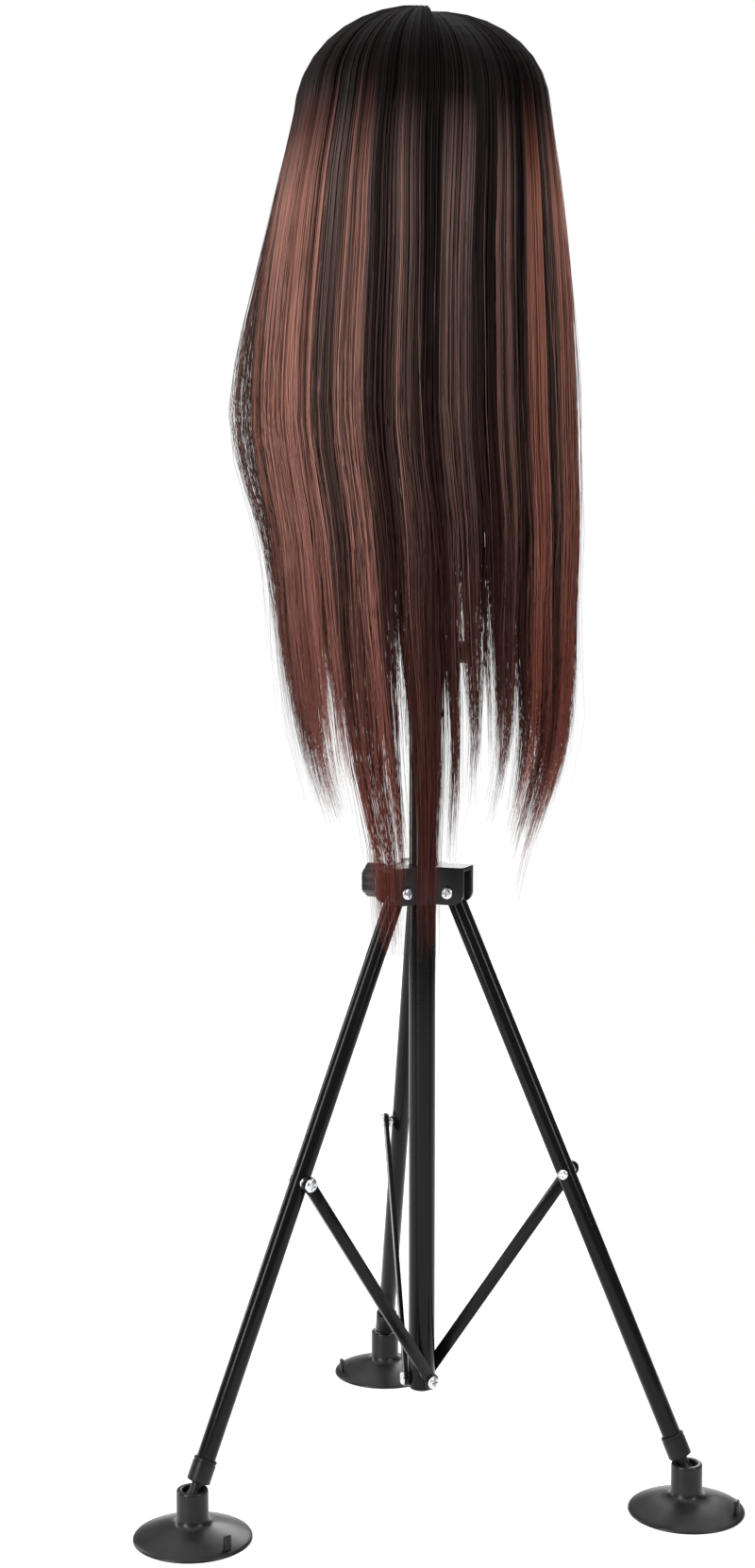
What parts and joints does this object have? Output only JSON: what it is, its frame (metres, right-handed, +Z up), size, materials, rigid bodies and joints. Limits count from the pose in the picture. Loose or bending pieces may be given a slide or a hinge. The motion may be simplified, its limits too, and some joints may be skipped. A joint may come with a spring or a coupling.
{
  "type": "mannequin training head",
  "caption": "Long-haired mannequin training head on a telescopic column with a folding tripod, tilt clamp, braced legs and suction-cup feet",
  "frame": {"origin": "middle of the stand's outline on the floor: the column stands 52 mm behind it (towards -Y)", "axes": "+Z up, the face looks along +Y, +X is the head's own right"},
  "size_m": [0.445, 0.3967, 1.09],
  "materials": {
    "black_paint": "gloss black powder coat on steel tube and strip",
    "black_plastic": "moulded black nylon",
    "zinc": "bright zinc-plated steel",
    "cup_rubber": "soft black rubber with a slight bloom",
    "head_skin": "soft matt vinyl skin",
    "head_foam": "rigid foam filling",
    "eye": "clear-coated acrylic eye",
    "hair": "straight long hair, dark roots to reddish brown tips"
  },
  "bodies": {
    "column": {"column_tube": "black_paint", "column_foot_plug": "black_plastic", "clamp_collar": "black_plastic"},
    "height_knob": {"height_knob": "black_plastic"},
    "hub": {"hub": "black_plastic", "hub_pin_rear": "zinc", "hub_pin_left": "zinc", "hub_pin_right": "zinc", "hub_pin_nut_rear": "zinc", "hub_pin_nut_left": "zinc", "hub_pin_nut_right": "zinc"},
    "hub_knob": {"hub_knob": "black_plastic"},
    "leg_rear": {"leg_tube_rear": "black_paint", "leg_end_cap_rear": "black_plastic", "brace_bolt_rear": "zinc", "brace_nut_rear": "zinc", "brace_spacer_rear": "zinc"},
    "brace_rear": {"brace_rear": "black_paint", "brace_foot_rivet_rear": "zinc"},
    "cup_rear": {"suction_cup_rear": "cup_rubber"},
    "leg_left": {"leg_tube_left": "black_paint", "leg_end_cap_left": "black_plastic", "brace_bolt_left": "zinc", "brace_nut_left": "zinc", "brace_spacer_left": "zinc"},
    "brace_left": {"brace_left": "black_paint", "brace_foot_rivet_left": "zinc"},
    "cup_left": {"suction_cup_left": "cup_rubber"},
    "leg_right": {"leg_tube_right": "black_paint", "leg_end_cap_right": "black_plastic", "brace_bolt_right": "zinc", "brace_nut_right": "zinc", "brace_spacer_right": "zinc"},
    "brace_right": {"brace_right": "black_paint", "brace_foot_rivet_right": "zinc"},
    "cup_right": {"suction_cup_right": "cup_rubber"},
    "inner_tube": {"inner_tube": "black_paint"},
    "tilt_fork": {"tilt_fork": "black_plastic", "tilt_nut": "zinc"},
    "tilt_knob": {"tilt_knob": "black_plastic"},
    "head": {"head_plug": "black_plastic", "neck_bushing": "black_plastic", "head_core": "head_foam", "head_skin": "head_skin", "eye_left": "eye", "eye_right": "eye", "hair_cap": "hair", "hair_back": "hair", "hair_left": "hair", "hair_right": "hair"}
  },
  "joints": [
    {"name": "hub_slide", "type": "slide", "parent": "column", "child": "hub", "axis": [0, 0, 1], "range_m": [0, 0.0484]},
    {"name": "leg_fold_rear", "type": "hinge", "parent": "hub", "child": "leg_rear", "pos_m": [0, -0.028, 0.447], "axis": [-1, 0, 0], "range_deg": [0, 19.5]},
    {"name": "brace_fold_rear", "type": "hinge", "parent": "leg_rear", "child": "brace_rear", "pos_m": [0, 0.06184, 0.2429], "axis": [1, 0, 0], "range_deg": [0, 41.7]},
    {"name": "ankle_rear", "type": "hinge", "parent": "leg_rear", "child": "cup_rear", "pos_m": [0, 0.156, 0.029], "axis": [1, 0, 0], "range_deg": [0, 19.5]},
    {"name": "leg_fold_left", "type": "hinge", "parent": "hub", "child": "leg_left", "pos_m": [-0.02078, -0.064, 0.447], "axis": [0.5, -0.866, 0], "range_deg": [0, 19.5]},
    {"name": "brace_fold_left", "type": "hinge", "parent": "leg_left", "child": "brace_left", "pos_m": [-0.09859, -0.10892, 0.2429], "axis": [-0.5, 0.866, 0], "range_deg": [0, 41.7]},
    {"name": "ankle_left", "type": "hinge", "parent": "leg_left", "child": "cup_left", "pos_m": [-0.18013, -0.156, 0.029], "axis": [-0.5, 0.866, 0], "range_deg": [0, 19.5]},
    {"name": "leg_fold_right", "type": "hinge", "parent": "hub", "child": "leg_right", "pos_m": [0.02078, -0.064, 0.447], "axis": [0.5, 0.866, 0], "range_deg": [0, 19.5]},
    {"name": "brace_fold_right", "type": "hinge", "parent": "leg_right", "child": "brace_right", "pos_m": [0.09859, -0.10892, 0.2429], "axis": [-0.5, -0.866, 0], "range_deg": [0, 41.7]},
    {"name": "ankle_right", "type": "hinge", "parent": "leg_right", "child": "cup_right", "pos_m": [0.18013, -0.156, 0.029], "axis": [-0.5, -0.866, 0], "range_deg": [0, 19.5]},
    {"name": "hub_knob_turn", "type": "hinge", "parent": "hub", "child": "hub_knob", "pos_m": [-0.02598, -0.037, 0.452], "axis": [-0.866, 0.5, 0], "range_deg": [0, 270]},
    {"name": "height_knob_turn", "type": "hinge", "parent": "column", "child": "height_knob", "pos_m": [0.024, -0.052, 0.624], "axis": [1, 0, 0], "range_deg": [0, 270]},
    {"name": "height_slide", "type": "slide", "parent": "column", "child": "inner_tube", "axis": [0, 0, 1], "range_m": [-0.075, 0.18]},
    {"name": "head_swivel", "type": "hinge", "parent": "inner_tube", "child": "tilt_fork", "pos_m": [0, -0.052, 0.734], "axis": [0, 0, 1], "continuous": true},
    {"name": "tilt_knob_turn", "type": "hinge", "parent": "tilt_fork", "child": "tilt_knob", "pos_m": [0.026, -0.052, 0.762], "axis": [1, 0, 0], "range_deg": [0, 270]},
    {"name": "head_tilt", "type": "hinge", "parent": "tilt_fork", "child": "head", "pos_m": [0, -0.052, 0.762], "axis": [-1, 0, 0], "range_deg": [-20, 40], "deforming": ["hair_back", "hair_left", "hair_right"]}
  ],
  "couplings": [
    {"joint": "leg_fold_rear", "follows": "hub_slide", "rad_per_m": 7.0124},
    {"joint": "brace_fold_rear", "follows": "hub_slide", "rad_per_m": 14.985},
    {"joint": "ankle_rear", "follows": "hub_slide", "rad_per_m": 7.0124},
    {"joint": "leg_fold_left", "follows": "hub_slide", "rad_per_m": 7.0124},
    {"joint": "brace_fold_left", "follows": "hub_slide", "rad_per_m": 14.985},
    {"joint": "ankle_left", "follows": "hub_slide", "rad_per_m": 7.0124},
    {"joint": "leg_fold_right", "follows": "hub_slide", "rad_per_m": 7.0124},
    {"joint": "brace_fold_right", "follows": "hub_slide", "rad_per_m": 14.985},
    {"joint": "ankle_right", "follows": "hub_slide", "rad_per_m": 7.0124}
  ]
}
